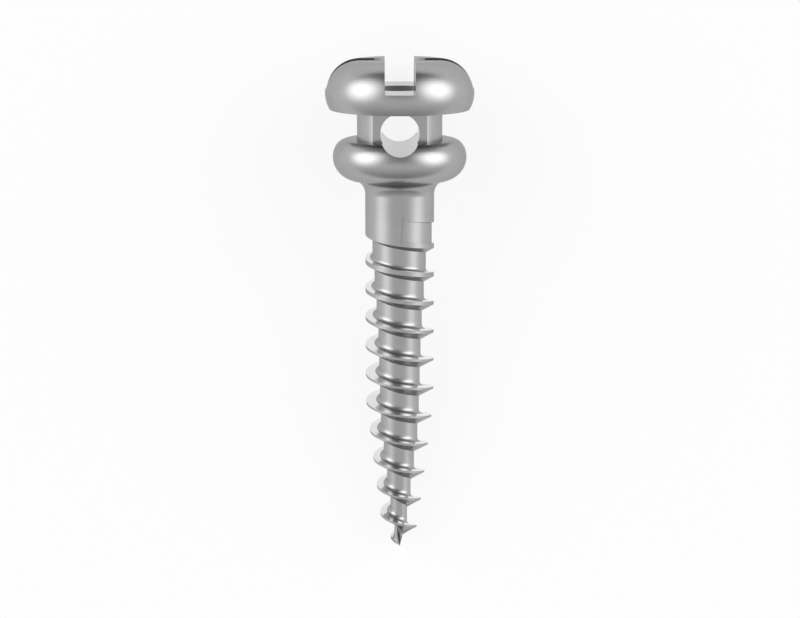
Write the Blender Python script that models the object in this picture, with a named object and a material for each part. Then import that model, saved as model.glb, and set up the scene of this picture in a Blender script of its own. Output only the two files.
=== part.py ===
"""Orthodontic mini screw, turned and milled from one bar of titanium alloy.

From the top: a button head with a cross of two driver slots and a round
socket, a neck with two flats and a wire bore, a round flange, a plain collar
and a left-handed buttress thread on a tapered core that ends in a cutting tip.

The screw is built standing, with its axis on Z, the top of its head at zero
and its front towards -Y. It is then laid down on the floor, head towards +Y,
where it rests on the flange and on one crest of the thread.
"""

import math

import bmesh
import bpy
import numpy as np
from mathutils import Matrix

NODE = "mini_screw"
MM = 0.001

# Head with its slots and socket.

HEAD_RADIUS = 1.50 * MM
HEAD_TOP_RADIUS = 0.845 * MM
HEAD_DOME_HEIGHT = 0.655 * MM
HEAD_UNDER_HEIGHT = 0.335 * MM
HEAD_UNDER_ROUND = 0.68 * MM
SLOT_WIDTH = 0.60 * MM
SLOT_DEPTH = 0.58 * MM
SOCKET_RADIUS = 0.59 * MM
SOCKET_BELOW_SLOT = 0.22 * MM

# Neck with its flats and bore.

NECK_RADIUS = 0.86 * MM
NECK_HEIGHT = 0.61 * MM
NECK_ACROSS_FLATS = 1.34 * MM
BORE_RADIUS = 0.39 * MM
BORE_BELOW_HEAD = 0.427 * MM

# Flange and the fillet below it.

FLANGE_RADIUS = 1.35 * MM
FLANGE_TOP_RADIUS = 1.08 * MM
FLANGE_UPPER_HEIGHT = 0.355 * MM
FLANGE_LOWER_ROUND = 0.465 * MM
FLANGE_FILLET = 0.30 * MM

# Collar and thread. The groove runs in over part of a turn, the core tapers
# to the cone's start, and the crest falls away into a fin just before the tip.

THREAD_RADIUS = 0.70 * MM
COLLAR_LENGTH = 0.86 * MM
THREAD_LENGTH = 6.62 * MM
TIP_POINT = 0.08 * MM
PITCH = 0.60 * MM
RUN_IN_TURNS = 0.75
FIRST_DEPTH = 0.145 * MM
SHANK_DEPTH = 0.260 * MM
SHANK_TAPER_LENGTH = 1.71 * MM
CONE_LENGTH = 3.24 * MM
CONE_CORE_LENGTH = 2.42 * MM
CONE_CORE_RADIUS = 0.385 * MM
FIN_LENGTH = 0.55 * MM
FIN_FALL_POWER = 1.6
FIN_RADIUS = 0.386 * MM
FIN_CORE_RADIUS = 0.175 * MM
TIP_RADIUS = 0.012 * MM
HEAD_SIDE_FLANK = math.radians(5)
TIP_SIDE_FLANK = math.radians(29)
ROOT_FILLET = 0.09 * MM
FILLET_SHARE = 0.4
FIRST_LAND = 0.11 * MM
LAND_LOST_PER_TURN = 0.015 * MM
SHARP_LAND = 0.045 * MM
THINNEST = 0.004 * MM

# Levels, measured down from the top of the head.

HEAD_HEIGHT = HEAD_DOME_HEIGHT + HEAD_UNDER_HEIGHT
SOCKET_DEPTH = SLOT_DEPTH + SOCKET_BELOW_SLOT
BORE_LEVEL = HEAD_HEIGHT + BORE_BELOW_HEAD
FLANGE_TOP_LEVEL = HEAD_HEIGHT + NECK_HEIGHT
FLANGE_WIDEST_LEVEL = FLANGE_TOP_LEVEL + FLANGE_UPPER_HEIGHT
FILLET_AXIS_RADIUS = THREAD_RADIUS + FLANGE_FILLET
FLANGE_AXIS_RADIUS = FLANGE_RADIUS - FLANGE_LOWER_ROUND
FILLET_BELOW_WIDEST = math.sqrt(
    (FLANGE_LOWER_ROUND + FLANGE_FILLET) ** 2 - (FILLET_AXIS_RADIUS - FLANGE_AXIS_RADIUS) ** 2
)
COLLAR_LEVEL = FLANGE_WIDEST_LEVEL + FILLET_BELOW_WIDEST
FIRST_CREST_LEVEL = COLLAR_LEVEL + COLLAR_LENGTH
TIP_LEVEL = FIRST_CREST_LEVEL + THREAD_LENGTH
LAST_CREST_LEVEL = TIP_LEVEL - TIP_POINT
FIN_LEVEL = LAST_CREST_LEVEL - FIN_LENGTH
CONE_LEVEL = TIP_LEVEL - CONE_LENGTH
FULL_GROOVE_LEVEL = FIRST_CREST_LEVEL + RUN_IN_TURNS * PITCH

# Mesh fineness and finish.

SIDES = 48
ARC_STEP = math.radians(11)
ROOT_ARC_STEPS = 2
CUTTER_REACH = 1.5 * HEAD_RADIUS
LOW_SHARE = 0.9
SHARP_EDGE_ANGLE = math.radians(30)
TITANIUM_COLOUR = (0.42, 0.42, 0.41, 1.0)
TITANIUM_ROUGHNESS = 0.28


def arc_angles(first, last):
    """Angles from first to last, close enough together for a smooth arc."""
    steps = max(2, math.ceil(abs(last - first) / ARC_STEP))
    return np.linspace(first, last, steps + 1)


def domed_edge(top_level, top_radius, height, radius):
    """Level and radius of an edge that falls from a flat top in a quarter ellipse."""
    reach = radius - top_radius
    return [
        (top_level + height * (1 - math.cos(angle)), top_radius + reach * math.sin(angle))
        for angle in arc_angles(0, math.pi / 2)
    ]


def head_outline():
    """Level and radius of the button head, from its flat top to its underside."""
    points = domed_edge(0, HEAD_TOP_RADIUS, HEAD_DOME_HEIGHT, HEAD_RADIUS)
    for angle in arc_angles(0, math.asin(HEAD_UNDER_HEIGHT / HEAD_UNDER_ROUND))[1:]:
        level = HEAD_DOME_HEIGHT + HEAD_UNDER_ROUND * math.sin(angle)
        points.append((level, HEAD_RADIUS - HEAD_UNDER_ROUND * (1 - math.cos(angle))))
    return points


def flange_outline():
    """Level and radius of the flange and its fillet, down to the plain collar."""
    points = domed_edge(FLANGE_TOP_LEVEL, FLANGE_TOP_RADIUS, FLANGE_UPPER_HEIGHT, FLANGE_RADIUS)
    touch = math.atan2(FILLET_BELOW_WIDEST, FILLET_AXIS_RADIUS - FLANGE_AXIS_RADIUS)
    for angle in arc_angles(0, touch)[1:]:
        level = FLANGE_WIDEST_LEVEL + FLANGE_LOWER_ROUND * math.sin(angle)
        points.append((level, FLANGE_AXIS_RADIUS + FLANGE_LOWER_ROUND * math.cos(angle)))
    for angle in arc_angles(touch, 0)[1:]:
        level = COLLAR_LEVEL - FLANGE_FILLET * math.sin(angle)
        points.append((level, FILLET_AXIS_RADIUS - FLANGE_FILLET * math.cos(angle)))
    return points


def crest_level(turn):
    """Level of the crest's edge on the head's side, turns from the run-in."""
    return FIRST_CREST_LEVEL + PITCH * turn


def full_core_radius(turn):
    """Radius of the floor of a groove cut full: two tapers of the shank, cone, tip."""
    levels = (
        FULL_GROOVE_LEVEL,
        FULL_GROOVE_LEVEL + SHANK_TAPER_LENGTH,
        TIP_LEVEL - CONE_CORE_LENGTH,
        FIN_LEVEL,
        LAST_CREST_LEVEL + PITCH,
    )
    radii = (
        THREAD_RADIUS - FIRST_DEPTH,
        THREAD_RADIUS - SHANK_DEPTH,
        CONE_CORE_RADIUS,
        FIN_CORE_RADIUS,
        TIP_RADIUS,
    )
    return np.interp(crest_level(turn), levels, radii)


def core_radius(turn):
    """Radius of the groove's floor, which comes in from the collar over the run-in."""
    depth = THREAD_RADIUS - full_core_radius(turn)
    run_in = min(1, turn / RUN_IN_TURNS)
    return THREAD_RADIUS - max(THINNEST, run_in * depth)


def fin_share(turn):
    """One along the whole thread, falling to nothing over the end fin."""
    fallen = np.clip((crest_level(turn) - FIN_LEVEL) / FIN_LENGTH, 0, 1)
    return 1 - fallen ** FIN_FALL_POWER


def crest_radius(turn):
    """Radius of the thread's crest: straight, then a cone, then the end fin."""
    cone = np.interp(
        crest_level(turn), (CONE_LEVEL, FIN_LEVEL), (THREAD_RADIUS, FIN_RADIUS)
    )
    core = core_radius(turn)
    return core + max(THINNEST, (cone - core) * fin_share(turn))


def groove_top(turn):
    """The groove on its head side: the crest's edge above it and its root.

    Where the groove runs in, the slanting tool has not reached its full depth,
    so the edge it cuts lies lower than it does further on.
    """
    above = turn - 1
    land = max(SHARP_LAND, FIRST_LAND - LAND_LOST_PER_TURN * max(above, 0))
    floor = core_radius(turn)
    missing = floor - full_core_radius(turn)
    level = crest_level(above) + max(THINNEST, land * fin_share(above))
    level += missing * math.tan(TIP_SIDE_FLANK)
    edge = crest_radius(above)
    return [(level, edge), (level + (edge - floor) * math.tan(TIP_SIDE_FLANK), floor)]


def groove_section(turn):
    """Level and radius of the groove across its width, head side first."""
    crest = crest_radius(turn)
    floor = core_radius(turn)
    depth = crest - floor
    fillet = min(ROOT_FILLET, FILLET_SHARE * depth)
    sweep = math.pi / 2 - HEAD_SIDE_FLANK
    corner = crest_level(turn) - depth * math.tan(HEAD_SIDE_FLANK)
    centre = corner - fillet * math.tan(sweep / 2)
    section = groove_top(turn)
    for angle in np.linspace(0, sweep, ROOT_ARC_STEPS + 1):
        level = centre + fillet * math.sin(angle)
        section.append((level, floor + fillet * (1 - math.cos(angle))))
    section.append((crest_level(turn), crest))
    return section


def add_point(mesh, column, level, radius):
    """One vertex on a column; columns start half a step right of the front."""
    angle = 2 * math.pi * (column + 0.5) / SIDES
    return mesh.verts.new((radius * math.sin(angle), -radius * math.cos(angle), -level))


def join_rings(mesh, upper, lower):
    """Faces between two closed rings with one vertex on each column."""
    for here in range(SIDES):
        there = (here + 1) % SIDES
        mesh.faces.new((upper[here], lower[here], lower[there], upper[there]))


def add_turned_body(mesh):
    """Head, neck, flange and collar as rings; gives back the collar's ring."""
    outline = head_outline()
    outline += [(HEAD_HEIGHT, NECK_RADIUS), (FLANGE_TOP_LEVEL, NECK_RADIUS)]
    outline += flange_outline()
    rings = [
        [add_point(mesh, column, level, radius) for column in range(SIDES)]
        for level, radius in outline
    ]
    mesh.faces.new(reversed(rings[0]))
    for upper, lower in zip(rings, rings[1:]):
        join_rings(mesh, upper, lower)
    return rings[-1]


def add_thread(mesh, collar):
    """The groove wound round the core, the lands between its turns, and the tip."""
    last = round((LAST_CREST_LEVEL - FIRST_CREST_LEVEL) / PITCH * SIDES)
    rows = []
    for column in range(last + SIDES + 1):
        turn = (column + 0.5) / SIDES
        section = groove_section(turn) if column <= last else groove_top(turn)
        rows.append([add_point(mesh, column, level, radius) for level, radius in section])

    for here, there in zip(rows, rows[1:]):
        for inner in range(len(there) - 1):
            mesh.faces.new((here[inner], here[inner + 1], there[inner + 1], there[inner]))
    for column in range(last):
        below = column + SIDES
        mesh.faces.new(
            (rows[column][-1], rows[below][0], rows[below + 1][0], rows[column + 1][-1])
        )

    for column in range(SIDES - 1):
        edge = (rows[column][0], rows[column + 1][0])
        mesh.faces.new((collar[column], *edge, collar[column + 1]))
    seam = (rows[SIDES - 1][0], rows[SIDES][0], rows[0][-1], rows[0][0])
    mesh.faces.new((collar[-1], *seam, collar[0]))
    mesh.faces.new(rows[0])

    tip = mesh.verts.new((0, 0, -TIP_LEVEL))
    tail = rows[last:]
    for here, there in zip(tail, tail[1:]):
        mesh.faces.new((here[1], tip, there[1]))
    mesh.faces.new((*tail[0][1:], *tail[-1], tip))


def build_blank():
    """The turned and threaded screw before any slot or hole is cut."""
    mesh = bmesh.new()
    collar = add_turned_body(mesh)
    add_thread(mesh, collar)
    bmesh.ops.recalc_face_normals(mesh, faces=mesh.faces)
    data = bpy.data.meshes.new(NODE)
    mesh.to_mesh(data)
    mesh.free()
    blank = bpy.data.objects.new(NODE, data)
    bpy.context.collection.objects.link(blank)
    return blank


def as_cutter(name):
    """Names the object just added and marks it as a tool that only cuts."""
    cutter = bpy.context.object
    cutter.name = name
    cutter.hide_render = True
    cutter.display_type = "WIRE"
    bpy.ops.object.transform_apply(location=True, rotation=True, scale=True)
    return cutter


def box_cutter(name, low, high):
    """A box between two corners."""
    centre = [(a + b) / 2 for a, b in zip(low, high)]
    size = [b - a for a, b in zip(low, high)]
    bpy.ops.mesh.primitive_cube_add(size=1, location=centre, scale=size)
    return as_cutter(name)


def round_cutter(name, radius, length, centre, rotation):
    """A cylinder about its centre, on Z before it is turned."""
    bpy.ops.mesh.primitive_cylinder_add(
        vertices=SIDES, radius=radius, depth=length, location=centre, rotation=rotation
    )
    return as_cutter(name)


def make_cutters():
    """Tools for the cross slot, the socket, the neck flats and the bore."""
    half = SLOT_WIDTH / 2
    flat = NECK_ACROSS_FLATS / 2
    reach = CUTTER_REACH
    socket_length = SOCKET_DEPTH + reach
    socket_centre = (0, 0, reach - socket_length / 2)
    bore_centre = (0, 0, -BORE_LEVEL)
    neck = (-FLANGE_TOP_LEVEL, -HEAD_HEIGHT)
    return [
        box_cutter("slot_front_back", (-half, -reach, -SLOT_DEPTH), (half, reach, reach)),
        box_cutter("slot_left_right", (-reach, -half, -SLOT_DEPTH), (reach, half, reach)),
        round_cutter("socket", SOCKET_RADIUS, socket_length, socket_centre, (0, 0, 0)),
        box_cutter("front_flat", (-reach, -reach, neck[0]), (reach, -flat, neck[1])),
        box_cutter("back_flat", (-reach, flat, neck[0]), (reach, reach, neck[1])),
        round_cutter("bore", BORE_RADIUS, 2 * reach, bore_centre, (math.pi / 2, 0, 0)),
    ]


def cut(blank, cutters):
    """Cuts every tool out of the blank."""
    bpy.context.view_layer.objects.active = blank
    for cutter in cutters:
        modifier = blank.modifiers.new(cutter.name, "BOOLEAN")
        modifier.operation = "DIFFERENCE"
        modifier.solver = "EXACT"
        modifier.object = cutter
        bpy.ops.object.modifier_apply(modifier=modifier.name)
        bpy.data.objects.remove(cutter)


def centre_of_volume(points, triangles):
    """Centre of the solid inside a closed triangle mesh."""
    corners = points[triangles]
    volumes = np.einsum("ij,ij->i", corners[:, 0], np.cross(corners[:, 1], corners[:, 2]))
    return (volumes[:, None] * corners.sum(axis=1) / 4).sum(axis=0) / volumes.sum()


def resting_tilt(points, balance):
    """Tilt of the line under the screw that touches it on both sides of its balance."""
    low = points[points[:, 1] > LOW_SHARE * THREAD_RADIUS]
    headward = low[low[:, 2] > balance][:, None, :]
    tipward = low[low[:, 2] <= balance][None, :, :]
    slopes = (headward - tipward)[..., 1] / (headward - tipward)[..., 2]
    reach = tipward[..., 1] + slopes * (balance - tipward[..., 2])
    return math.atan(slopes.flat[reach.argmax()])


def lay_down(screw):
    """Turns the standing screw onto the floor and centres it there."""
    screw.data.calc_loop_triangles()
    points = np.array([vertex.co for vertex in screw.data.vertices], dtype=float)
    triangles = np.array([triangle.vertices for triangle in screw.data.loop_triangles])
    balance = centre_of_volume(points, triangles)[2]
    tilt = resting_tilt(points, balance)
    screw.data.transform(Matrix.Rotation(tilt - math.pi / 2, 4, "X"))
    points = np.array([vertex.co for vertex in screw.data.vertices])
    low, high = points.min(axis=0), points.max(axis=0)
    middle = (low + high) / 2
    screw.data.transform(Matrix.Translation((-middle[0], -middle[1], -low[2])))


def turned_titanium():
    """Satin grey titanium alloy as it comes off the lathe."""
    material = bpy.data.materials.new("turned_titanium")
    material.use_nodes = True
    shader = material.node_tree.nodes["Principled BSDF"]
    shader.inputs["Base Color"].default_value = TITANIUM_COLOUR
    shader.inputs["Metallic"].default_value = 1.0
    shader.inputs["Roughness"].default_value = TITANIUM_ROUGHNESS
    return material


def main():
    for old in list(bpy.data.objects):
        bpy.data.objects.remove(old)
    screw = build_blank()
    cut(screw, make_cutters())
    lay_down(screw)
    screw.data.materials.clear()
    screw.data.materials.append(turned_titanium())
    screw.data.shade_smooth()
    screw.data.set_sharp_from_angle(angle=SHARP_EDGE_ANGLE)


main()
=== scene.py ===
"""Orthodontic mini screw of titanium alloy, lying on a pale studio floor.

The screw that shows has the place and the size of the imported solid, with finer
curves and with the finishes that its tools leave. It is turned from a profile,
threaded, milled and drilled. It is made standing, its axis on Z, its front
towards -Y and the top of its head at zero, and is then laid down where the
solid lies. All lengths are in metres.
"""

import math

import bmesh
import bpy
import numpy as np
from mathutils import Matrix, Vector


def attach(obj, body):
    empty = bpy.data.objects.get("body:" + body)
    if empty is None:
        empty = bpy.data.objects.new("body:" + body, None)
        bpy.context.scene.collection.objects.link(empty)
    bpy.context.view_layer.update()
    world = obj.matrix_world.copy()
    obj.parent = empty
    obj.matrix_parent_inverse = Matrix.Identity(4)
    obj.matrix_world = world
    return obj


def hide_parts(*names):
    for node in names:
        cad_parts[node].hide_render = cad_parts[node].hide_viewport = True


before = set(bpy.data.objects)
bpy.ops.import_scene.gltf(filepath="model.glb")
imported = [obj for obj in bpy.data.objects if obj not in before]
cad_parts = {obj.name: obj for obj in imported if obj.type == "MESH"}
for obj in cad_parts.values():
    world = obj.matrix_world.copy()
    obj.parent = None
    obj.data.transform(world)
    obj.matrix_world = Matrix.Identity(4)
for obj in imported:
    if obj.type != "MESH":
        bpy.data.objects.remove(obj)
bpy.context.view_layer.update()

bl_info = {
    "name": "Orthodontic Mini Screw",
    "version": (1, 0, 0),
    "blender": (4, 5, 0),
    "location": "View3D > Sidebar > Mini Screw",
    "description": "Builds a titanium orthodontic mini screw and a small studio round it",
    "category": "Object",
}

MM = 0.001
NODE = "mini_screw"
BODY = "root"

# How the solid lies: tilt of its axis, and where the top of its head is.

LYING_TILT = math.radians(7.318408)
HEAD_TOP = Vector((0, 5.001114, 1.60336)) * MM

# Core of the thread. The groove runs in to its first depth over part of a turn.
# The core then tapers along the shank, the cone, the fin and the tip.

RUN_IN_TURNS = 0.75
FIRST_DEPTH = 0.145 * MM
SHANK_DEPTH = 0.260 * MM
SHANK_TAPER_LENGTH = 1.71 * MM
CONE_CORE_LENGTH = 2.42 * MM
CONE_CORE_RADIUS = 0.385 * MM
FIN_CORE_RADIUS = 0.175 * MM
TIP_RADIUS = 0.012 * MM

# Crest of the thread. It ends in a fin that falls away, and the bare point goes
# on below it.

FIN_RADIUS = 0.386 * MM
FIN_LENGTH = 0.55 * MM
FIN_FALL_POWER = 1.6
TIP_POINT = 0.08 * MM

# The land is the flat on the crest, which gets narrower turn by turn until it
# is sharp. The root fillet takes up at most a share of the groove's depth.

FIRST_LAND = 0.11 * MM
LAND_LOST_PER_TURN = 0.015 * MM
SHARP_LAND = 0.045 * MM
FILLET_SHARE = 0.4

# Least depth of the groove and least width of the land, so that no face closes up.

THINNEST = 0.004 * MM

# Fineness of the visible mesh. Its columns start half a step right of the front.

SIDES = 192
FIRST_COLUMN = 0.5
ARC_STEP = math.radians(4)
FEWEST_ARC_STEPS = 2
ROOT_ARC_STEPS = 5
SHARP_EDGE_ANGLE = math.radians(24)

# How far the cutting tools reach from the screw's axis, in head radii.

CUTTER_REACH = 1.5

# Place among the screw's materials of the flank finish, whose much lighter colour is painted
# sheen.

SHEEN_FLANK_SLOT = 1

# A fine line of painted shade where the thread's groove begins: its middle's
# level, its length and width, and its place to the right of the front, which leans.

SHADE_LINE_LEVEL = 3.36 * MM
SHADE_LINE_LENGTH = 0.57 * MM
SHADE_LINE_WIDTH = 0.012 * MM
SHADE_LINE_SIDE = 0.279 * MM
SHADE_LINE_LEAN = 0.07
SHADE_LINE_DARKENING = 0.35

# Width of one band of the wave texture at a scale of 1.

WAVE_BAND = math.tau / 20

# How far and how finely the drawn tool lines wander, how fine the patches of
# uneven sheen are, and the part of their noise that the two tones span.

LINE_WANDER = 0.6
LINE_DETAIL = 2.0
PATCH_DETAIL = 4.0
PATCH_RANGE = (0.3, 0.7)
BLACK = (0, 0, 0, 1)

# Places of the colour sockets of the Mix node, whose names its other sockets share.

MIX_COLOUR_A = 6
MIX_COLOUR_B = 7
MIX_COLOUR_RESULT = 2

# Decimals that the sidebar shows of a length.

LENGTH_DIGITS = 5

# From the middle of the studio floor to its edge.

FLOOR_HALF = 150 * MM

# Grey of the room against the angle above (+) or below (-) the standing screw's
# level, in degrees. It is palest just below that level, and dark well above it.

ROOM_GREYS = (
    (-90, 0.28),
    (-60, 0.45),
    (-48, 0.53),
    (-36, 0.68),
    (-24, 0.80),
    (-8, 0.84),
    (4, 0.52),
    (20, 0.36),
    (45, 0.22),
    (68, 0.14),
    (90, 0.20),
)

# The photograph's frame and the lens that was read from it, in its pixels.

PHOTO_WIDTH = 800
FOCAL_PIXELS = 2000
PIXELS_PER_MM = 48.76
SENSOR_WIDTH_MM = 36

# What the middle of the picture shows: a level on the screw's axis, and how far
# to the right of the axis. Then the nearest thing that the camera can see.

AIM_LEVEL = 5.100 * MM
AIM_RIGHT_PIXELS = 0.35
NEAREST_SEEN = 1 * MM


def linear(hex_colour):
    """An sRGB hex value such as #aeaeae as linear red, green, blue, alpha.

    The numbers are those of the sRGB standard's own curve.
    """
    values = [int(hex_colour[place:place + 2], 16) / 255 for place in (1, 3, 5)]
    return [v / 12.92 if v <= 0.04045 else ((v + 0.055) / 1.055) ** 2.4 for v in values] + [1.0]


class ScrewSizes(bpy.types.PropertyGroup):
    """Sizes of the screw that a user would change."""

    head_radius: bpy.props.FloatProperty(
        name="Head radius", description="Widest radius of the button head",
        default=1.50 * MM, unit="LENGTH", precision=LENGTH_DIGITS)
    head_top_radius: bpy.props.FloatProperty(
        name="Head top radius", description="Radius of the flat on top of the head",
        default=0.845 * MM, unit="LENGTH", precision=LENGTH_DIGITS)
    head_dome_height: bpy.props.FloatProperty(
        name="Dome height", description="From the head's widest place up to its flat top",
        default=0.655 * MM, unit="LENGTH", precision=LENGTH_DIGITS)
    head_under_height: bpy.props.FloatProperty(
        name="Under height", description="From the head's widest place down to its underside",
        default=0.335 * MM, unit="LENGTH", precision=LENGTH_DIGITS)
    head_under_round: bpy.props.FloatProperty(
        name="Under round", description="Radius of the curve under the head's widest place",
        default=0.68 * MM, unit="LENGTH", precision=LENGTH_DIGITS)
    slot_width: bpy.props.FloatProperty(
        name="Slot width", description="Width of both driver slots",
        default=0.60 * MM, unit="LENGTH", precision=LENGTH_DIGITS)
    slot_depth: bpy.props.FloatProperty(
        name="Slot depth", description="Depth of both driver slots below the head's top",
        default=0.58 * MM, unit="LENGTH", precision=LENGTH_DIGITS)
    socket_radius: bpy.props.FloatProperty(
        name="Socket radius", description="Radius of the round socket in the head",
        default=0.59 * MM, unit="LENGTH", precision=LENGTH_DIGITS)
    socket_depth: bpy.props.FloatProperty(
        name="Socket depth", description="Depth of the socket below the head's top",
        default=0.80 * MM, unit="LENGTH", precision=LENGTH_DIGITS)
    neck_radius: bpy.props.FloatProperty(
        name="Neck radius", description="Radius of the neck outside its flats",
        default=0.86 * MM, unit="LENGTH", precision=LENGTH_DIGITS)
    neck_height: bpy.props.FloatProperty(
        name="Neck height", description="From the head's underside to the flange",
        default=0.61 * MM, unit="LENGTH", precision=LENGTH_DIGITS)
    neck_across_flats: bpy.props.FloatProperty(
        name="Across flats", description="Distance between the neck's two flats",
        default=1.34 * MM, unit="LENGTH", precision=LENGTH_DIGITS)
    bore_radius: bpy.props.FloatProperty(
        name="Bore radius", description="Radius of the wire bore through the neck",
        default=0.39 * MM, unit="LENGTH", precision=LENGTH_DIGITS)
    bore_below_head: bpy.props.FloatProperty(
        name="Bore below head", description="From the head's underside to the bore's axis",
        default=0.427 * MM, unit="LENGTH", precision=LENGTH_DIGITS)
    flange_radius: bpy.props.FloatProperty(
        name="Flange radius", description="Widest radius of the flange",
        default=1.35 * MM, unit="LENGTH", precision=LENGTH_DIGITS)
    flange_top_radius: bpy.props.FloatProperty(
        name="Flange top radius", description="Radius of the flat on top of the flange",
        default=1.08 * MM, unit="LENGTH", precision=LENGTH_DIGITS)
    flange_upper_height: bpy.props.FloatProperty(
        name="Flange upper height", description="From the flange's widest place up to its top",
        default=0.355 * MM, unit="LENGTH", precision=LENGTH_DIGITS)
    flange_lower_round: bpy.props.FloatProperty(
        name="Flange lower round", description="Radius of the curve under the widest place",
        default=0.465 * MM, unit="LENGTH", precision=LENGTH_DIGITS)
    flange_fillet: bpy.props.FloatProperty(
        name="Flange fillet", description="Radius of the hollow between flange and collar",
        default=0.30 * MM, unit="LENGTH", precision=LENGTH_DIGITS)
    thread_radius: bpy.props.FloatProperty(
        name="Thread radius", description="Outer radius of the thread and of the collar",
        default=0.70 * MM, unit="LENGTH", precision=LENGTH_DIGITS)
    collar_length: bpy.props.FloatProperty(
        name="Collar length", description="From the fillet to the first crest's edge",
        default=0.86 * MM, unit="LENGTH", precision=LENGTH_DIGITS)
    thread_length: bpy.props.FloatProperty(
        name="Thread length", description="From the first crest's edge to the tip",
        default=6.62 * MM, unit="LENGTH", precision=LENGTH_DIGITS)
    cone_length: bpy.props.FloatProperty(
        name="Cone length", description="Length of the thread that narrows to the tip",
        default=3.24 * MM, unit="LENGTH", precision=LENGTH_DIGITS)
    pitch: bpy.props.FloatProperty(
        name="Pitch", description="Advance of the thread in one turn",
        default=0.60 * MM, unit="LENGTH", precision=LENGTH_DIGITS)
    head_side_flank: bpy.props.FloatProperty(
        name="Head side flank", description="Lean of the flank that faces the head",
        default=math.radians(5), subtype="ANGLE")
    tip_side_flank: bpy.props.FloatProperty(
        name="Tip side flank", description="Lean of the flank that faces the tip",
        default=math.radians(29), subtype="ANGLE")
    root_fillet: bpy.props.FloatProperty(
        name="Root fillet", description="Radius where the groove's floor meets the flank",
        default=0.09 * MM, unit="LENGTH", precision=LENGTH_DIGITS)


class FinishSettings(bpy.types.PropertyGroup):
    """Colours and sheen of the metal, and the lines that the tools leave in it."""

    light_hex: bpy.props.StringProperty(
        name="Light tone", description="Lighter tone of the bare alloy, sRGB hex",
        default="#aeaeae")
    dark_hex: bpy.props.StringProperty(
        name="Dark tone", description="Darker tone of the bare alloy, sRGB hex",
        default="#a8a8a8")
    # The flanks' two tones are far lighter than the bare alloy: painted sheen standing for the
    # white the flanks mirror.
    flank_sheen_light_hex: bpy.props.StringProperty(
        name="Bright light tone", description="Lighter tone of the bright cut faces, sRGB hex",
        default="#e9e9e9")
    flank_sheen_dark_hex: bpy.props.StringProperty(
        name="Bright dark tone", description="Darker tone of the bright cut faces, sRGB hex",
        default="#e4e4e4")
    edge_tint: bpy.props.FloatProperty(
        name="Edge tint", description="Reflection of the turned metal near its outline",
        default=0.7, min=0, max=1)
    roughness: bpy.props.FloatProperty(
        name="Turned roughness", description="Roughness of the turned satin metal",
        default=0.28, min=0, max=1)
    milled_roughness: bpy.props.FloatProperty(
        name="Milled roughness", description="Roughness of slots, flats and bore",
        default=0.20, min=0, max=1)
    drilled_roughness: bpy.props.FloatProperty(
        name="Drilled roughness", description="Roughness of the round socket",
        default=0.5, min=0, max=1)
    flank_roughness: bpy.props.FloatProperty(
        name="Bright roughness", description="Roughness of the thread's bright flanks",
        default=0.12, min=0, max=1)
    roughness_spread: bpy.props.FloatProperty(
        name="Roughness spread", description="How far the roughness wanders either way",
        default=0.03, min=0, max=0.2)
    turning_pitch: bpy.props.FloatProperty(
        name="Turning pitch", description="Distance between the drawn turning lines",
        default=0.05 * MM, unit="LENGTH", precision=LENGTH_DIGITS)
    milling_pitch: bpy.props.FloatProperty(
        name="Milling pitch", description="Distance between the drawn milling lines",
        default=0.07 * MM, unit="LENGTH", precision=LENGTH_DIGITS)
    line_depth: bpy.props.FloatProperty(
        name="Line depth", description="Depth of the drawn tool lines",
        default=0.0002 * MM, unit="LENGTH", precision=LENGTH_DIGITS)
    patch_size: bpy.props.FloatProperty(
        name="Patch size", description="Width of the patches of uneven sheen",
        default=0.4 * MM, unit="LENGTH", precision=LENGTH_DIGITS)


class StudioSettings(bpy.types.PropertyGroup):
    """Floor, lamps and camera."""

    floor_hex: bpy.props.StringProperty(
        name="Floor colour", description="Matt white studio floor, sRGB hex",
        default="#f4f4f4")
    floor_glow: bpy.props.FloatProperty(
        name="Floor glow", description="Share of plain white in the floor as it is seen",
        default=0.85, min=0, max=1)
    lamp_radiance: bpy.props.FloatProperty(
        name="Lamp radiance", description="Brightness of the soft lamps at their middle",
        default=2.6, min=0)
    lamp_side: bpy.props.FloatProperty(
        name="Lamp side", description="Angle of both lamps round the screw from the viewer",
        default=math.radians(64), subtype="ANGLE")
    lamp_lift: bpy.props.FloatProperty(
        name="Lamp lift", description="Angle of both lamps towards the screw's head",
        default=math.radians(21), subtype="ANGLE")
    lamp_core: bpy.props.FloatProperty(
        name="Lamp core", description="Angle from a lamp's middle to where it starts to fade",
        default=math.radians(13), subtype="ANGLE")
    lamp_edge: bpy.props.FloatProperty(
        name="Lamp edge", description="Angle from a lamp's middle to where it has faded out",
        default=math.radians(48), subtype="ANGLE")
    lamp_fade: bpy.props.FloatProperty(
        name="Lamp fade", description="Power of the fall from a lamp's core to its edge",
        default=2.4, min=1)
    camera_pitch: bpy.props.FloatProperty(
        name="Camera pitch", description="Angle of the view from square to the screw's axis",
        default=math.radians(11.7), subtype="ANGLE")
    camera_turn: bpy.props.FloatProperty(
        name="Camera turn", description="Angle of the view round the screw's axis",
        default=math.radians(0.5), subtype="ANGLE")


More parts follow.
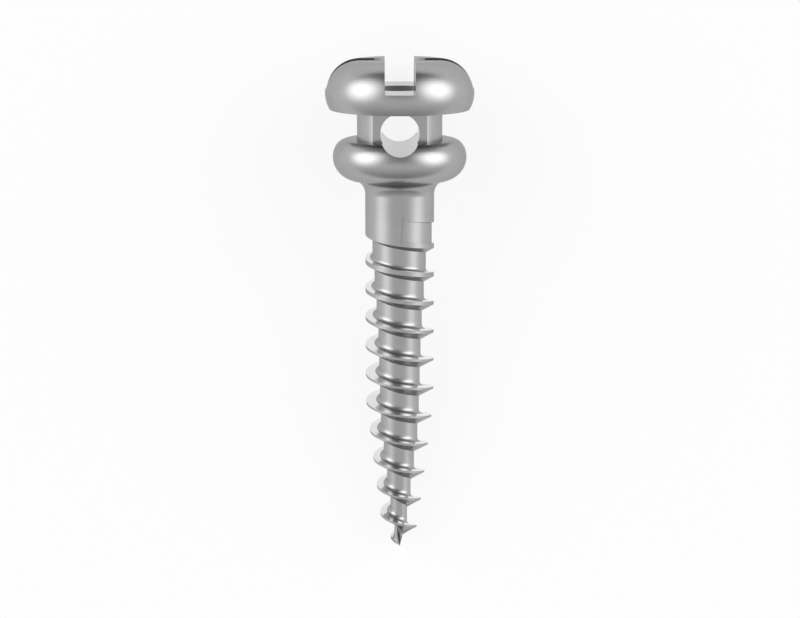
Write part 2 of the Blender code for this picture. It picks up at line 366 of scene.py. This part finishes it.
class ScrewForm:
    """The screw's outline, worked out from its sizes.

    A level is a distance below the top of the head, and a turn counts round
    the thread from where its groove begins.
    """

    def __init__(self, sizes):
        self.sizes = sizes
        self.head_height = sizes.head_dome_height + sizes.head_under_height
        self.bore_level = self.head_height + sizes.bore_below_head
        self.flange_top = self.head_height + sizes.neck_height
        self.flange_widest = self.flange_top + sizes.flange_upper_height

        # The flange's lower curve and the fillet are arcs that touch each other.
        # Their centres stand this far from the screw's axis.
        self.fillet_axis = sizes.thread_radius + sizes.flange_fillet
        self.flange_axis = sizes.flange_radius - sizes.flange_lower_round
        between = sizes.flange_lower_round + sizes.flange_fillet
        self.fillet_below = math.sqrt(between ** 2 - (self.fillet_axis - self.flange_axis) ** 2)

        self.collar = self.flange_widest + self.fillet_below
        self.first_crest = self.collar + sizes.collar_length
        self.tip = self.first_crest + sizes.thread_length
        self.last_crest = self.tip - TIP_POINT
        self.fin = self.last_crest - FIN_LENGTH

    def head_outline(self):
        """Level and radius of the button head, from its top to its underside."""
        sizes = self.sizes
        points = domed_edge(
            0, sizes.head_top_radius, sizes.head_dome_height, sizes.head_radius)
        lowest = math.asin(sizes.head_under_height / sizes.head_under_round)
        for angle in arc_angles(0, lowest)[1:]:
            level = sizes.head_dome_height + sizes.head_under_round * math.sin(angle)
            radius = sizes.head_radius - sizes.head_under_round * (1 - math.cos(angle))
            points.append((level, radius))
        return points

    def flange_outline(self):
        """Level and radius of the flange and its fillet, down to the collar."""
        sizes = self.sizes
        points = domed_edge(
            self.flange_top, sizes.flange_top_radius,
            sizes.flange_upper_height, sizes.flange_radius)
        touch = math.atan2(self.fillet_below, self.fillet_axis - self.flange_axis)
        for angle in arc_angles(0, touch)[1:]:
            level = self.flange_widest + sizes.flange_lower_round * math.sin(angle)
            radius = self.flange_axis + sizes.flange_lower_round * math.cos(angle)
            points.append((level, radius))
        for angle in arc_angles(touch, 0)[1:]:
            level = self.collar - sizes.flange_fillet * math.sin(angle)
            points.append((level, self.fillet_axis - sizes.flange_fillet * math.cos(angle)))
        return points

    def crest_level(self, turn):
        """Level of the crest's edge on the head's side."""
        return self.first_crest + self.sizes.pitch * turn

    def full_core_radius(self, turn):
        """Radius of the floor of a groove cut full: shank, cone, fin and tip."""
        outer = self.sizes.thread_radius
        full_groove = self.first_crest + RUN_IN_TURNS * self.sizes.pitch
        stations = (
            (full_groove, outer - FIRST_DEPTH),
            (full_groove + SHANK_TAPER_LENGTH, outer - SHANK_DEPTH),
            (self.tip - CONE_CORE_LENGTH, CONE_CORE_RADIUS),
            (self.fin, FIN_CORE_RADIUS),
            (self.last_crest + self.sizes.pitch, TIP_RADIUS),
        )
        return np.interp(self.crest_level(turn), *zip(*stations))

    def core_radius(self, turn):
        """Radius of the groove's floor, which comes in over the run-in."""
        outer = self.sizes.thread_radius
        depth = outer - self.full_core_radius(turn)
        run_in = min(1, turn / RUN_IN_TURNS)
        return outer - max(THINNEST, run_in * depth)

    def fin_share(self, turn):
        """One along the whole thread, falling to nothing over the end fin."""
        fallen = np.clip((self.crest_level(turn) - self.fin) / FIN_LENGTH, 0, 1)
        return 1 - fallen ** FIN_FALL_POWER

    def crest_radius(self, turn):
        """Radius of the crest: straight, then a cone, then the last fin."""
        cone_start = self.tip - self.sizes.cone_length
        outer = self.sizes.thread_radius
        cone = np.interp(self.crest_level(turn), (cone_start, self.fin), (outer, FIN_RADIUS))
        core = self.core_radius(turn)
        return core + max(THINNEST, (cone - core) * self.fin_share(turn))

    def groove_top(self, turn):
        """The groove on its head side: the edge of the crest above and the root.

        Where the groove runs in, the slanting tool has not reached its full
        depth, so the edge it cuts lies lower than it does further on.
        """
        above = turn - 1
        slant = math.tan(self.sizes.tip_side_flank)
        land = max(SHARP_LAND, FIRST_LAND - LAND_LOST_PER_TURN * max(above, 0))
        floor = self.core_radius(turn)
        missing = floor - self.full_core_radius(turn)
        level = self.crest_level(above) + max(THINNEST, land * self.fin_share(above))
        level += missing * slant
        edge = self.crest_radius(above)
        return [(level, edge), (level + (edge - floor) * slant, floor)]

    def groove_section(self, turn):
        """Level and radius of the groove across its width, head side first.

        The fillet rounds the corner of the floor and the flank that faces the
        head. One point of the floor is close to it, so that the fillet's
        smooth shading doesn't spread over the whole floor.
        """
        crest = self.crest_radius(turn)
        floor = self.core_radius(turn)
        depth = crest - floor
        fillet = min(self.sizes.root_fillet, FILLET_SHARE * depth)
        sweep = math.pi / 2 - self.sizes.head_side_flank
        corner = self.crest_level(turn) - depth * math.tan(self.sizes.head_side_flank)
        centre = corner - fillet * math.tan(sweep / 2)
        section = self.groove_top(turn)
        section.append((centre - fillet / 2, floor))
        for angle in np.linspace(0, sweep, ROOT_ARC_STEPS + 1):
            level = centre + fillet * math.sin(angle)
            section.append((level, floor + fillet * (1 - math.cos(angle))))
        section.append((self.crest_level(turn), crest))
        return section


def arc_angles(first, last):
    """Angles from first to last, close enough together for a smooth arc."""
    steps = max(FEWEST_ARC_STEPS, math.ceil(abs(last - first) / ARC_STEP))
    return np.linspace(first, last, steps + 1)


def domed_edge(top_level, top_radius, height, radius):
    """Level and radius of an edge that falls from a flat top in a quarter ellipse."""
    reach = radius - top_radius
    return [
        (top_level + height * (1 - math.cos(angle)), top_radius + reach * math.sin(angle))
        for angle in arc_angles(0, math.pi / 2)
    ]


def add_point(mesh, column, level, radius):
    """One vertex on a column, which counts from the front to the right."""
    angle = math.tau * (column + FIRST_COLUMN) / SIDES
    return mesh.verts.new((radius * math.sin(angle), -radius * math.cos(angle), -level))


def add_turned_body(mesh, form):
    """Head, neck, flange and collar as rings; gives back the collar's ring."""
    neck = form.sizes.neck_radius
    outline = form.head_outline()
    outline += [(form.head_height, neck), (form.flange_top, neck)]
    outline += form.flange_outline()
    rings = []
    for level, radius in outline:
        rings.append([add_point(mesh, column, level, radius) for column in range(SIDES)])
    mesh.faces.new(reversed(rings[0]))
    for upper, lower in zip(rings, rings[1:]):
        for here in range(SIDES):
            there = (here + 1) % SIDES
            mesh.faces.new((upper[here], lower[here], lower[there], upper[there]))
    return rings[-1]


def add_rows(mesh, form, last):
    """Rows of vertices across the groove, one to a column, round and round.

    Behind the last row of the crest only the groove's head side goes on for
    one more turn, down to the tip.
    """
    rows = []
    for column in range(last + SIDES + 1):
        turn = (column + FIRST_COLUMN) / SIDES
        section = form.groove_section(turn) if column <= last else form.groove_top(turn)
        rows.append([add_point(mesh, column, level, radius) for level, radius in section])
    return rows


def add_groove(mesh, rows):
    """The faces of the groove. The flank that faces the head gets the finish with painted sheen.

    The rows behind the crest are one face wide and have no such flank.
    """
    for here, there in zip(rows, rows[1:]):
        for inner in range(len(there) - 1):
            face = mesh.faces.new(
                (here[inner], here[inner + 1], there[inner + 1], there[inner]))
            reaches_crest = there[inner + 1] is there[-1]
            if reaches_crest and inner > 0:
                face.material_index = SHEEN_FLANK_SLOT


def add_lands(mesh, rows, last):
    """The lands on the crest, from one turn of the groove to the next."""
    for column in range(last):
        below = column + SIDES
        mesh.faces.new(
            (rows[column][-1], rows[below][0], rows[below + 1][0], rows[column + 1][-1])
        )


def join_collar(mesh, rows, collar):
    """The plain collar down to the first turn, and the step where the groove begins."""
    for column in range(SIDES - 1):
        edge = (rows[column][0], rows[column + 1][0])
        mesh.faces.new((collar[column], *edge, collar[column + 1]))
    seam = (rows[SIDES - 1][0], rows[SIDES][0], rows[0][-1], rows[0][0])
    mesh.faces.new((collar[-1], *seam, collar[0]))
    mesh.faces.new(rows[0])


def close_tip(mesh, tail, level):
    """The point below the rows behind the crest, and the fin's own end face."""
    tip = mesh.verts.new((0, 0, -level))
    for here, there in zip(tail, tail[1:]):
        mesh.faces.new((here[1], tip, there[1]))
    mesh.faces.new((*tail[0][1:], *tail[-1], tip))


def add_thread(mesh, form, collar):
    """The thread wound round its core, from the collar to the tip."""
    turns = (form.last_crest - form.first_crest) / form.sizes.pitch
    last = round(turns * SIDES)
    rows = add_rows(mesh, form, last)
    add_groove(mesh, rows)
    add_lands(mesh, rows, last)
    join_collar(mesh, rows, collar)
    close_tip(mesh, rows[last:], form.tip)


def link_mesh(name, mesh):
    """Turns a bmesh into an object of the scene."""
    data = bpy.data.meshes.new(name)
    mesh.to_mesh(data)
    mesh.free()
    made = bpy.data.objects.new(name, data)
    bpy.context.scene.collection.objects.link(made)
    return made


def turned_blank(form):
    """The turned and threaded screw before anything is milled or drilled."""
    mesh = bmesh.new()
    collar = add_turned_body(mesh, form)
    add_thread(mesh, form, collar)
    bmesh.ops.recalc_face_normals(mesh, faces=mesh.faces)
    return link_mesh("turned_screw", mesh)


def box_cutter(low, high):
    """A box between two corners."""
    mesh = bmesh.new()
    bmesh.ops.create_cube(mesh, size=1)
    size = Vector(high) - Vector(low)
    middle = (Vector(high) + Vector(low)) / 2
    mesh.transform(Matrix.Translation(middle) @ Matrix.Diagonal((*size, 1)))
    return link_mesh("cutter", mesh)


def round_cutter(radius, length, place):
    """A cylinder on Z, moved and turned by a matrix."""
    mesh = bmesh.new()
    bmesh.ops.create_cone(
        mesh, cap_ends=True, segments=SIDES, radius1=radius, radius2=radius, depth=length
    )
    mesh.transform(place)
    return link_mesh("cutter", mesh)


def milling_cutters(form):
    """Tools for the cross slot, the neck flats and the bore."""
    sizes = form.sizes
    reach = CUTTER_REACH * sizes.head_radius
    half = sizes.slot_width / 2
    floor = -sizes.slot_depth
    flat = sizes.neck_across_flats / 2
    low = -form.flange_top
    high = -form.head_height
    bore = Matrix.Translation((0, 0, -form.bore_level)) @ Matrix.Rotation(math.pi / 2, 4, "X")
    return [
        box_cutter((-half, -reach, floor), (half, reach, reach)),
        box_cutter((-reach, -half, floor), (reach, half, reach)),
        box_cutter((-reach, -reach, low), (reach, -flat, high)),
        box_cutter((-reach, flat, low), (reach, reach, high)),
        round_cutter(sizes.bore_radius, 2 * reach, bore),
    ]


def socket_drill(form):
    """Tool for the round socket in the head."""
    sizes = form.sizes
    reach = CUTTER_REACH * sizes.head_radius
    place = Matrix.Translation((0, 0, reach - sizes.socket_depth))
    return round_cutter(sizes.socket_radius, 2 * reach, place)


def cut(blank, cutters, finish):
    """Cuts every tool out of the blank; the cut faces get the finish."""
    bpy.context.view_layer.objects.active = blank
    for cutter in cutters:
        cutter.data.materials.append(finish)
        modifier = blank.modifiers.new("cut", "BOOLEAN")
        modifier.operation = "DIFFERENCE"
        modifier.solver = "EXACT"
        modifier.material_mode = "TRANSFER"
        modifier.object = cutter
        bpy.ops.object.modifier_apply(modifier=modifier.name)
        bpy.data.objects.remove(cutter)


def check_closed(piece):
    """Raises an error if a piece's mesh is empty or has an open edge."""
    mesh = bmesh.new()
    mesh.from_mesh(piece.data)
    closed = len(mesh.faces) > 0 and all(edge.is_manifold for edge in mesh.edges)
    mesh.free()
    if not closed:
        raise RuntimeError(f"{piece.name} is not a closed mesh")


def lying_place():
    """The matrix that lays the standing screw down where the solid lies."""
    return Matrix.Translation(HEAD_TOP) @ Matrix.Rotation(LYING_TILT - math.pi / 2, 4, "X")


def add_node(tree, kind, settings=None, inputs=None, links=None):
    """Adds a shader node, sets its properties and inputs, and links its inputs.

    An input goes by its name, or by its number where names are shared.
    """
    node = tree.nodes.new(kind)
    for name, value in (settings or {}).items():
        setattr(node, name, value)
    for name, value in (inputs or {}).items():
        node.inputs[name].default_value = value
    for name, output in (links or {}).items():
        tree.links.new(output, node.inputs[name])
    return node


def set_ramp(node, stops):
    """Places the stops of a colour ramp: position and colour."""
    ramp = node.color_ramp
    while len(ramp.elements) > 1:
        ramp.elements.remove(ramp.elements[-1])
    ramp.elements[0].position = stops[0][0]
    ramp.elements[0].color = stops[0][1]
    for position, colour in stops[1:]:
        ramp.elements.new(position).color = colour


def standing_coordinates(tree):
    """Where a point was while the screw stood. The patterns are drawn by that."""
    place = add_node(tree, "ShaderNodeTexCoord").outputs["Object"]
    return add_node(
        tree, "ShaderNodeMapping", {"vector_type": "TEXTURE"},
        {"Location": HEAD_TOP, "Rotation": (LYING_TILT - math.pi / 2, 0, 0)},
        {"Vector": place},
    ).outputs["Vector"]


def tool_lines(tree, here, direction, pitch, depth):
    """A bump of fine lines that follow one another in a direction."""
    lines = add_node(
        tree, "ShaderNodeTexWave", {"wave_type": "BANDS", "bands_direction": direction},
        {"Scale": WAVE_BAND / pitch, "Distortion": LINE_WANDER, "Detail": LINE_DETAIL},
        {"Vector": here},
    )
    return add_node(
        tree, "ShaderNodeBump", {}, {"Strength": 1.0, "Distance": depth},
        {"Height": lines.outputs["Fac"]},
    ).outputs["Normal"]


def with_painted_shade_line(tree, here, colour):
    """The colour, with painted shade on the fine line where the thread's groove begins."""
    coordinate = add_node(tree, "ShaderNodeSeparateXYZ", {}, {}, {"Vector": here}).outputs
    middle = add_node(
        tree, "ShaderNodeMath", {"operation": "MULTIPLY_ADD"},
        {1: SHADE_LINE_LEAN, 2: SHADE_LINE_SIDE}, {0: coordinate["Z"]},
    )
    across = add_node(
        tree, "ShaderNodeMath", {"operation": "COMPARE"}, {2: SHADE_LINE_WIDTH / 2},
        {0: coordinate["X"], 1: middle.outputs[0]},
    )
    along = add_node(
        tree, "ShaderNodeMath", {"operation": "COMPARE"},
        {1: -SHADE_LINE_LEVEL, 2: SHADE_LINE_LENGTH / 2}, {0: coordinate["Z"]},
    )
    front = add_node(
        tree, "ShaderNodeMath", {"operation": "LESS_THAN"}, {1: 0.0}, {0: coordinate["Y"]},
    )
    strip = add_node(
        tree, "ShaderNodeMath", {"operation": "MULTIPLY"}, {},
        {0: across.outputs[0], 1: along.outputs[0]},
    )
    line = add_node(
        tree, "ShaderNodeMath", {"operation": "MULTIPLY"}, {},
        {0: strip.outputs[0], 1: front.outputs[0]},
    )
    darkening = add_node(
        tree, "ShaderNodeMath", {"operation": "MULTIPLY"}, {1: SHADE_LINE_DARKENING},
        {0: line.outputs[0]},
    )
    return add_node(
        tree, "ShaderNodeMix", {"data_type": "RGBA"}, {MIX_COLOUR_B: BLACK},
        {"Factor": darkening.outputs[0], MIX_COLOUR_A: colour},
    ).outputs[MIX_COLOUR_RESULT]


def titanium(name, finish, tones, roughness, direction, line_pitch, edge=1.0, painted_line=False):
    """Bare titanium alloy as a tool leaves it: a neutral grey metal.

    Fine tool lines draw the highlights out a little across them, and handling
    and washing leave the sheen slightly uneven. Real tool lines are about
    0.02 mm apart. Here they are drawn coarser so that they don't shimmer, one
    after another in the direction that is given. The edge is the share of the
    reflection that is left near the outline. A finish with the painted line has
    a fine darker line of painted shade where the thread's groove begins.
    """
    material = bpy.data.materials.new(name)
    material.use_nodes = True
    tree = material.node_tree
    tree.nodes.clear()
    here = standing_coordinates(tree)
    patches = add_node(
        tree, "ShaderNodeTexNoise", {},
        {"Scale": 1 / finish.patch_size, "Detail": PATCH_DETAIL}, {"Vector": here},
    ).outputs["Fac"]
    dullest = roughness + finish.roughness_spread
    smoothest = roughness - finish.roughness_spread
    sheen = add_node(
        tree, "ShaderNodeMapRange", {}, {"To Min": smoothest, "To Max": dullest},
        {"Value": patches},
    )
    tone = add_node(tree, "ShaderNodeValToRGB", {}, {}, {"Fac": patches})
    set_ramp(tone, list(zip(PATCH_RANGE, [linear(hex_colour) for hex_colour in tones])))
    colour = tone.outputs["Color"]
    # Painted shade: a fine darker line where the thread's groove begins.
    if painted_line:
        colour = with_painted_shade_line(tree, here, colour)
    shader = add_node(
        tree, "ShaderNodeBsdfPrincipled", {},
        {"Metallic": 1.0, "Specular Tint": (edge, edge, edge, 1)},
        {
            "Base Color": colour,
            "Roughness": sheen.outputs["Result"],
            "Normal": tool_lines(tree, here, direction, line_pitch, finish.line_depth),
        },
    )
    add_node(tree, "ShaderNodeOutputMaterial", {}, {}, {"Surface": shader.outputs["BSDF"]})
    return material


def turned_alloy(finish):
    """Turned and left bare: satin, and darker towards its outline, as titanium is."""
    # The turned skin carries the fine line of painted shade where the groove begins.
    return titanium(
        "turned_titanium_alloy", finish, (finish.dark_hex, finish.light_hex),
        finish.roughness, "Z", finish.turning_pitch, finish.edge_tint, painted_line=True)


def flank_alloy_painted_sheen(finish):
    """The thread's flanks that face the head: smoother than the turned skin, with a much lighter
    colour that is painted sheen.
    """
    return titanium(
        "flank_titanium_alloy_painted_sheen", finish, (finish.flank_sheen_dark_hex, finish.flank_sheen_light_hex),
        finish.flank_roughness, "Z", finish.turning_pitch)


def milled_alloy(finish):
    """Milled slots, flats and bore: smoother than the turned skin."""
    return titanium(
        "milled_titanium_alloy", finish, (finish.dark_hex, finish.light_hex),
        finish.milled_roughness, "DIAGONAL", finish.milling_pitch)


def drilled_alloy(finish):
    """The drilled socket, which nothing smoothed after the drill: dull."""
    return titanium(
        "drilled_titanium_alloy", finish, (finish.dark_hex, finish.light_hex),
        finish.drilled_roughness, "Z", finish.turning_pitch)


class MINISCREW_OT_screw(bpy.types.Operator):
    """Builds the visible screw in place of the solid"""

    bl_idname = "miniscrew.screw"
    bl_label = "Screw"

    def execute(self, context):
        form = ScrewForm(context.scene.screw_sizes)
        finish = context.scene.screw_finish
        screw = turned_blank(form)
        screw.data.materials.append(turned_alloy(finish))
        screw.data.materials.append(flank_alloy_painted_sheen(finish))
        cut(screw, milling_cutters(form), milled_alloy(finish))
        cut(screw, [socket_drill(form)], drilled_alloy(finish))
        check_closed(screw)
        screw.data.shade_smooth()
        screw.data.set_sharp_from_angle(angle=SHARP_EDGE_ANGLE)
        screw.data.transform(lying_place())
        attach(screw, BODY)
        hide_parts(NODE)
        return {"FINISHED"}


def white_card(studio):
    """Matt white card, which shows nearly white and still takes a soft shadow.

    A share of it is plain white, but only as the camera, glossy and clear
    things see it. As a light on other things it is ordinary card.
    """
    material = bpy.data.materials.new("matt_white_card")
    material.use_nodes = True
    tree = material.node_tree
    tree.nodes.clear()
    card = add_node(tree, "ShaderNodeBsdfDiffuse", {}, {"Color": linear(studio.floor_hex)})
    white = add_node(tree, "ShaderNodeEmission", {}, {"Strength": 1.0})
    path = add_node(tree, "ShaderNodeLightPath")
    mirrored = add_node(
        tree, "ShaderNodeMath", {"operation": "MAXIMUM"}, {},
        {0: path.outputs["Is Glossy Ray"], 1: path.outputs["Is Transmission Ray"]},
    )
    seen = add_node(
        tree, "ShaderNodeMath", {"operation": "MAXIMUM"}, {},
        {0: path.outputs["Is Camera Ray"], 1: mirrored.outputs[0]},
    )
    glow = add_node(
        tree, "ShaderNodeMath", {"operation": "MULTIPLY"}, {1: studio.floor_glow},
        {0: seen.outputs[0]},
    )
    mix = add_node(
        tree, "ShaderNodeMixShader", {}, {},
        {0: glow.outputs[0], 1: card.outputs["BSDF"], 2: white.outputs["Emission"]},
    )
    add_node(tree, "ShaderNodeOutputMaterial", {}, {}, {"Surface": mix.outputs["Shader"]})
    return material


def make_floor(studio):
    """A white sheet that the screw lies on."""
    mesh = bmesh.new()
    corners = [(-1, -1), (1, -1), (1, 1), (-1, 1)]
    mesh.faces.new([mesh.verts.new((x * FLOOR_HALF, y * FLOOR_HALF, 0)) for x, y in corners])
    floor = link_mesh("studio_floor", mesh)
    floor.data.materials.append(white_card(studio))


def standing_direction(side, lift):
    """A direction seen from the standing screw, given in the lying scene.

    The side angle counts round the axis from the viewer to the right, and the
    lift is the angle up towards the head.
    """
    standing = Vector((
        math.sin(side) * math.cos(lift), -math.cos(side) * math.cos(lift), math.sin(lift)
    ))
    return lying_place().to_3x3() @ standing


def add_lean(tree, view, direction):
    """Cosine of the angle between the view and a direction."""
    return add_node(
        tree, "ShaderNodeVectorMath", {"operation": "DOT_PRODUCT"},
        {1: direction[:]}, {0: view},
    ).outputs["Value"]


def room_greys(tree, view):
    """The room's own grey, which changes only along the screw's axis."""
    along = add_lean(tree, view, standing_direction(0, math.pi / 2))
    share = add_node(
        tree, "ShaderNodeMapRange", {}, {"From Min": -1.0, "From Max": 1.0}, {"Value": along}
    )
    room = add_node(tree, "ShaderNodeValToRGB", {}, {}, {"Fac": share.outputs["Result"]})
    set_ramp(room, [
        ((math.sin(math.radians(angle)) + 1) / 2, (value, value, value, 1))
        for angle, value in ROOM_GREYS
    ])
    return room.outputs["Color"]


def with_lamp(tree, view, light, direction, studio):
    """The light of the room with one soft lamp more, which fades from its core."""
    lean = add_lean(tree, view, direction)
    inward = add_node(
        tree, "ShaderNodeMapRange", {},
        {"From Min": math.cos(studio.lamp_edge), "From Max": math.cos(studio.lamp_core)},
        {"Value": lean},
    )
    fade = add_node(
        tree, "ShaderNodeMath", {"operation": "POWER"}, {1: studio.lamp_fade},
        {0: inward.outputs["Result"]},
    )
    return add_node(
        tree, "ShaderNodeMath", {"operation": "MULTIPLY_ADD"}, {1: studio.lamp_radiance},
        {0: fade.outputs[0], 2: light},
    ).outputs[0]


def make_room(scene, studio):
    """The room that the metal mirrors: greys along the axis and two soft lamps."""
    world = bpy.data.worlds.new("studio_room")
    world.use_nodes = True
    tree = world.node_tree
    tree.nodes.clear()
    view = add_node(tree, "ShaderNodeTexCoord").outputs["Generated"]
    light = room_greys(tree, view)
    for side in (-studio.lamp_side, studio.lamp_side):
        light = with_lamp(
            tree, view, light, standing_direction(side, studio.lamp_lift), studio)
    background = add_node(tree, "ShaderNodeBackground", {}, {"Strength": 1.0}, {"Color": light})
    add_node(tree, "ShaderNodeOutputWorld", {}, {}, {"Surface": background.outputs["Background"]})
    scene.world = world


def make_camera(scene, studio):
    """A long lens that looks down on the screw, its head up the picture."""
    data = bpy.data.cameras.new("camera")
    data.sensor_width = SENSOR_WIDTH_MM
    data.lens = SENSOR_WIDTH_MM * FOCAL_PIXELS / PHOTO_WIDTH
    data.clip_start = NEAREST_SEEN
    camera = bpy.data.objects.new("camera", data)
    scene.collection.objects.link(camera)
    turn = Matrix.Rotation(-studio.camera_turn, 4, "Z")
    pitch = Matrix.Rotation(math.pi / 2 - studio.camera_pitch, 4, "X")
    facing = turn @ pitch
    target = Vector((AIM_RIGHT_PIXELS / PIXELS_PER_MM * MM, 0, -AIM_LEVEL))
    back = facing.to_3x3() @ Vector((0, 0, FOCAL_PIXELS / PIXELS_PER_MM * MM))
    camera.matrix_world = lying_place() @ Matrix.Translation(target + back) @ facing
    scene.camera = camera


class MINISCREW_OT_stage(bpy.types.Operator):
    """Makes the floor, the room with its two soft lamps, and the camera"""

    bl_idname = "miniscrew.stage"
    bl_label = "Stage"

    def execute(self, context):
        studio = context.scene.screw_studio
        make_floor(studio)
        make_room(context.scene, studio)
        make_camera(context.scene, studio)
        context.scene.view_settings.view_transform = "Standard"
        return {"FINISHED"}


class MINISCREW_PT_panel(bpy.types.Panel):
    """Lists the screw's sizes, its finish and the studio"""

    bl_idname = "MINISCREW_PT_panel"
    bl_label = "Mini Screw"
    bl_space_type = "VIEW_3D"
    bl_region_type = "UI"
    bl_category = "Mini Screw"

    def draw(self, context):
        groups = (
            (context.scene.screw_sizes, "miniscrew.screw"),
            (context.scene.screw_finish, None),
            (context.scene.screw_studio, "miniscrew.stage"),
        )
        for settings, operator in groups:
            box = self.layout.box()
            for name in type(settings).__annotations__:
                box.prop(settings, name)
            if operator:
                box.operator(operator)


CLASSES = (
    ScrewSizes,
    FinishSettings,
    StudioSettings,
    MINISCREW_OT_screw,
    MINISCREW_OT_stage,
    MINISCREW_PT_panel,
)


def register():
    """Adds the classes, and the screw's settings to every scene."""
    for cls in CLASSES:
        bpy.utils.register_class(cls)
    bpy.types.Scene.screw_sizes = bpy.props.PointerProperty(type=ScrewSizes)
    bpy.types.Scene.screw_finish = bpy.props.PointerProperty(type=FinishSettings)
    bpy.types.Scene.screw_studio = bpy.props.PointerProperty(type=StudioSettings)


def unregister():
    """Takes out what register added."""
    del bpy.types.Scene.screw_studio
    del bpy.types.Scene.screw_finish
    del bpy.types.Scene.screw_sizes
    for cls in reversed(CLASSES):
        bpy.utils.unregister_class(cls)


def main():
    """Makes the screw and its studio."""
    register()
    bpy.ops.miniscrew.screw()
    bpy.ops.miniscrew.stage()


if __name__ == "__main__":
    main()
